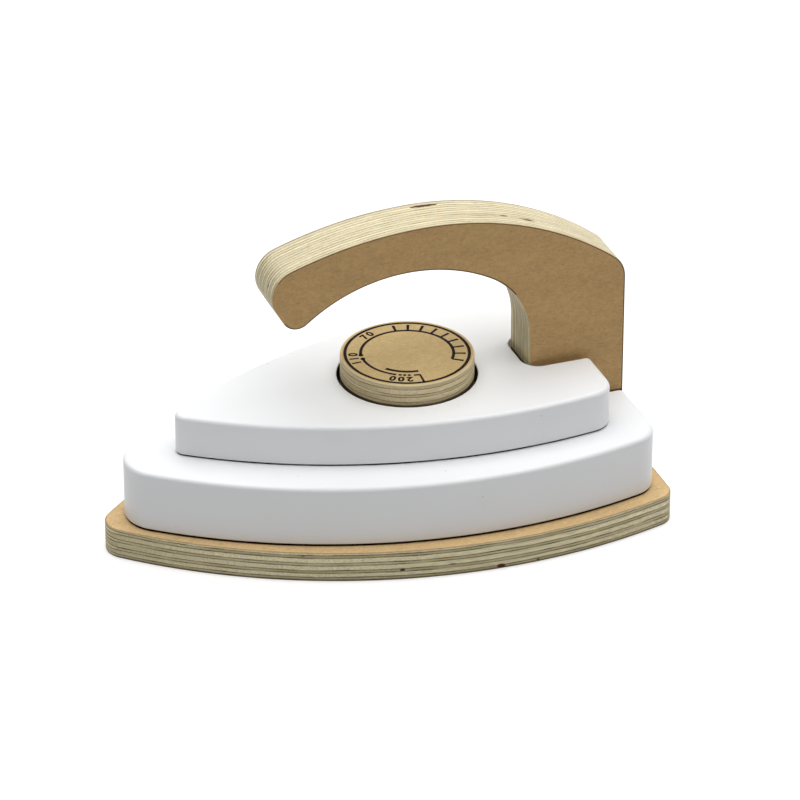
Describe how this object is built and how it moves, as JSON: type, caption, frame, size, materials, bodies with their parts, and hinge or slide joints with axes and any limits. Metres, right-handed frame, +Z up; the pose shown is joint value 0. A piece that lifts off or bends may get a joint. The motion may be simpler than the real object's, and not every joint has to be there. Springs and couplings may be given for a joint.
{
  "type": "toy iron",
  "caption": "Wooden pretend-play iron: plywood sole, stepped white painted body, plywood handle that is open at the front, and a dial that turns.",
  "frame": {"origin": "on the surface that the toy stands on, under the middle of the sole", "axes": "+Z up, -X towards the nose and +X towards the heel, +Y across the toy"},
  "size_m": [0.188, 0.1142, 0.1076],
  "materials": {
    "sole_plywood": "birch plywood, nine plies, waxed faces and bare sawn edges",
    "handle_plywood": "birch plywood, thirteen plies, light brown waxed faces and bare light edges",
    "dial_plywood": "birch plywood, nine plies, printed with plain numbers and a scale",
    "white_paint": "solid board with white satin paint",
    "beech": "plain beech dowel",
    "zinc_steel": "zinc plated steel",
    "grey_felt": "pressed wool felt"
  },
  "bodies": {
    "iron": {"soleplate": "sole_plywood", "lower_body": "white_paint", "upper_body": "white_paint", "handle": "handle_plywood", "dial_head_washer": "zinc_steel", "dial_felt_washer": "grey_felt", "dowel_front": "beech", "dowel_rear": "beech", "body_screw_front": "zinc_steel", "body_screw_left": "zinc_steel", "body_screw_right": "zinc_steel", "handle_screw_front": "zinc_steel", "handle_screw_rear": "zinc_steel", "sole_screw_nose": "zinc_steel", "sole_screw_left": "zinc_steel", "sole_screw_right": "zinc_steel", "sole_screw_heel_left": "zinc_steel", "sole_screw_heel_right": "zinc_steel"},
    "dial_turning": {"dial": "dial_plywood", "dial_screw": "zinc_steel"}
  },
  "joints": [
    {"name": "dial_spin", "type": "hinge", "parent": "iron", "child": "dial_turning", "pos_m": [0.0144, 0, 0.0504], "axis": [0, 0, 1], "continuous": true}
  ]
}
